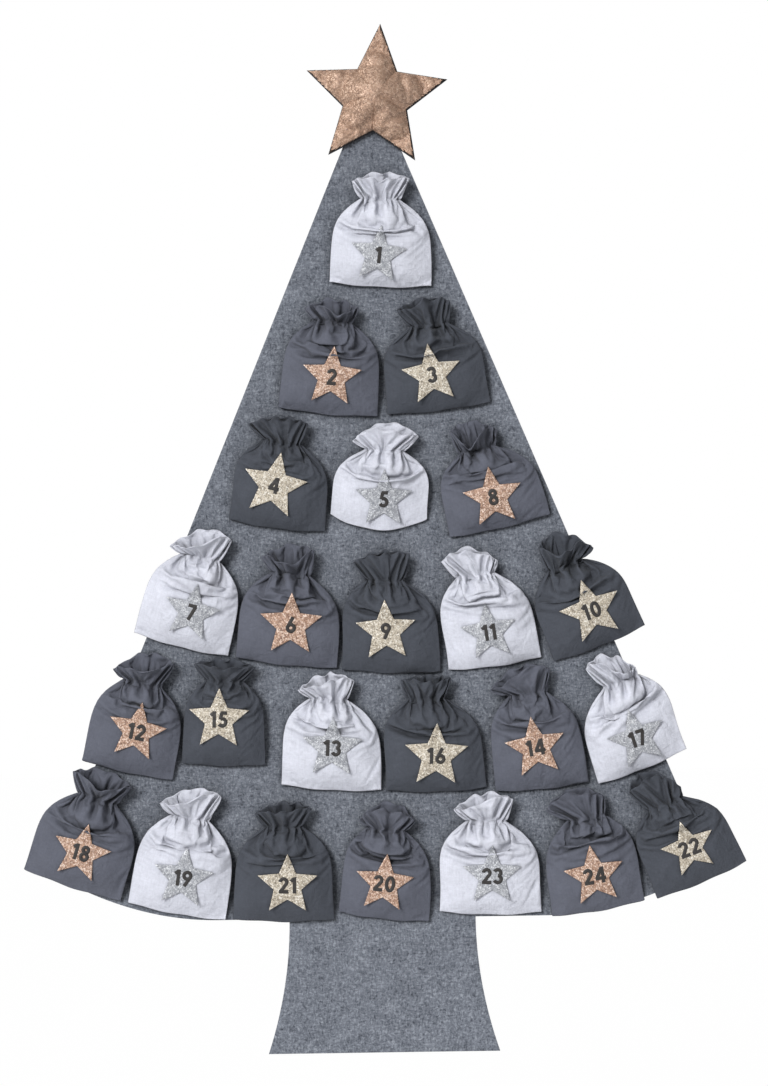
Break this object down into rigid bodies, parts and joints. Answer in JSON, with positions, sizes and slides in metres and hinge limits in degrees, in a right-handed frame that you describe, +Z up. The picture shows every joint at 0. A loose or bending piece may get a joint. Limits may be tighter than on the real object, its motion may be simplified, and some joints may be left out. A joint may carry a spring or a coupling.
{
  "type": "tree advent calendar",
  "caption": "Flat felt fir tree to hang on a wall, covered with stuffed cotton bags that pull off one by one, each with a star patch, under a stuffed glitter star.",
  "frame": {"origin": "on the back face of the felt, on the tree's middle line, 10 mm under its top edge", "axes": "+Z up towards the star, +Y out of the felt's back into the wall, X across the tree, the front faces -Y"},
  "size_m": [0.7042, 0.0349, 1.0003],
  "materials": {
    "backing": "dark woven backing cloth",
    "cotton_charcoal": "plain weave cotton, charcoal",
    "cotton_grey": "plain weave cotton, mid grey",
    "cotton_white": "plain weave cotton, off-white",
    "felt": "matt wool felt, grey melange",
    "glitter_copper": "copper glitter cloth",
    "glitter_gold": "pale gold glitter cloth",
    "glitter_rose": "rose gold glitter cloth",
    "glitter_silver": "silver glitter cloth",
    "tape": "cotton tape",
    "wadding": "polyester filling"
  },
  "bodies": {
    "tree": {"felt_tree": "felt", "hanging_loop": "tape", "topper_back": "backing", "topper_filling": "wadding", "topper_front": "glitter_rose"},
    "bag_01": {"pouch_01": "cotton_white", "star_patch_01": "glitter_silver"},
    "bag_02": {"pouch_02": "cotton_grey", "star_patch_02": "glitter_copper"},
    "bag_03": {"pouch_03": "cotton_charcoal", "star_patch_03": "glitter_gold"},
    "bag_04": {"pouch_04": "cotton_charcoal", "star_patch_04": "glitter_gold"},
    "bag_05": {"pouch_05": "cotton_white", "star_patch_05": "glitter_silver"},
    "bag_06": {"pouch_06": "cotton_grey", "star_patch_06": "glitter_copper"},
    "bag_07": {"pouch_07": "cotton_white", "star_patch_07": "glitter_silver"},
    "bag_08": {"pouch_08": "cotton_grey", "star_patch_08": "glitter_copper"},
    "bag_09": {"pouch_09": "cotton_charcoal", "star_patch_09": "glitter_gold"},
    "bag_10": {"pouch_10": "cotton_charcoal", "star_patch_10": "glitter_gold"},
    "bag_11": {"pouch_11": "cotton_white", "star_patch_11": "glitter_silver"},
    "bag_12": {"pouch_12": "cotton_grey", "star_patch_12": "glitter_copper"},
    "bag_13": {"pouch_13": "cotton_white", "star_patch_13": "glitter_silver"},
    "bag_14": {"pouch_14": "cotton_grey", "star_patch_14": "glitter_copper"},
    "bag_15": {"pouch_15": "cotton_charcoal", "star_patch_15": "glitter_gold"},
    "bag_16": {"pouch_16": "cotton_charcoal", "star_patch_16": "glitter_gold"},
    "bag_17": {"pouch_17": "cotton_white", "star_patch_17": "glitter_silver"},
    "bag_18": {"pouch_18": "cotton_grey", "star_patch_18": "glitter_copper"},
    "bag_19": {"pouch_19": "cotton_white", "star_patch_19": "glitter_silver"},
    "bag_20": {"pouch_20": "cotton_grey", "star_patch_20": "glitter_copper"},
    "bag_21": {"pouch_21": "cotton_charcoal", "star_patch_21": "glitter_gold"},
    "bag_22": {"pouch_22": "cotton_charcoal", "star_patch_22": "glitter_gold"},
    "bag_23": {"pouch_23": "cotton_white", "star_patch_23": "glitter_silver"},
    "bag_24": {"pouch_24": "cotton_grey", "star_patch_24": "glitter_copper"}
  },
  "joints": [
    {"name": "bag_01_pull_off", "type": "slide", "parent": "tree", "child": "bag_01", "axis": [0, -1, 0], "range_m": [0, 0.06]},
    {"name": "bag_02_pull_off", "type": "slide", "parent": "tree", "child": "bag_02", "axis": [0, -1, 0], "range_m": [0, 0.06]},
    {"name": "bag_03_pull_off", "type": "slide", "parent": "tree", "child": "bag_03", "axis": [0, -1, 0], "range_m": [0, 0.06]},
    {"name": "bag_04_pull_off", "type": "slide", "parent": "tree", "child": "bag_04", "axis": [0, -1, 0], "range_m": [0, 0.06]},
    {"name": "bag_05_pull_off", "type": "slide", "parent": "tree", "child": "bag_05", "axis": [0, -1, 0], "range_m": [0, 0.06]},
    {"name": "bag_06_pull_off", "type": "slide", "parent": "tree", "child": "bag_06", "axis": [0, -1, 0], "range_m": [0, 0.06]},
    {"name": "bag_07_pull_off", "type": "slide", "parent": "tree", "child": "bag_07", "axis": [0, -1, 0], "range_m": [0, 0.06]},
    {"name": "bag_08_pull_off", "type": "slide", "parent": "tree", "child": "bag_08", "axis": [0, -1, 0], "range_m": [0, 0.06]},
    {"name": "bag_09_pull_off", "type": "slide", "parent": "tree", "child": "bag_09", "axis": [0, -1, 0], "range_m": [0, 0.06]},
    {"name": "bag_10_pull_off", "type": "slide", "parent": "tree", "child": "bag_10", "axis": [0, -1, 0], "range_m": [0, 0.06]},
    {"name": "bag_11_pull_off", "type": "slide", "parent": "tree", "child": "bag_11", "axis": [0, -1, 0], "range_m": [0, 0.06]},
    {"name": "bag_12_pull_off", "type": "slide", "parent": "tree", "child": "bag_12", "axis": [0, -1, 0], "range_m": [0, 0.06]},
    {"name": "bag_13_pull_off", "type": "slide", "parent": "tree", "child": "bag_13", "axis": [0, -1, 0], "range_m": [0, 0.06]},
    {"name": "bag_14_pull_off", "type": "slide", "parent": "tree", "child": "bag_14", "axis": [0, -1, 0], "range_m": [0, 0.06]},
    {"name": "bag_15_pull_off", "type": "slide", "parent": "tree", "child": "bag_15", "axis": [0, -1, 0], "range_m": [0, 0.06]},
    {"name": "bag_16_pull_off", "type": "slide", "parent": "tree", "child": "bag_16", "axis": [0, -1, 0], "range_m": [0, 0.06]},
    {"name": "bag_17_pull_off", "type": "slide", "parent": "tree", "child": "bag_17", "axis": [0, -1, 0], "range_m": [0, 0.06]},
    {"name": "bag_18_pull_off", "type": "slide", "parent": "tree", "child": "bag_18", "axis": [0, -1, 0], "range_m": [0, 0.06]},
    {"name": "bag_19_pull_off", "type": "slide", "parent": "tree", "child": "bag_19", "axis": [0, -1, 0], "range_m": [0, 0.06]},
    {"name": "bag_20_pull_off", "type": "slide", "parent": "tree", "child": "bag_20", "axis": [0, -1, 0], "range_m": [0, 0.06]},
    {"name": "bag_21_pull_off", "type": "slide", "parent": "tree", "child": "bag_21", "axis": [0, -1, 0], "range_m": [0, 0.06]},
    {"name": "bag_22_pull_off", "type": "slide", "parent": "tree", "child": "bag_22", "axis": [0, -1, 0], "range_m": [0, 0.06]},
    {"name": "bag_23_pull_off", "type": "slide", "parent": "tree", "child": "bag_23", "axis": [0, -1, 0], "range_m": [0, 0.06]},
    {"name": "bag_24_pull_off", "type": "slide", "parent": "tree", "child": "bag_24", "axis": [0, -1, 0], "range_m": [0, 0.06]}
  ]
}
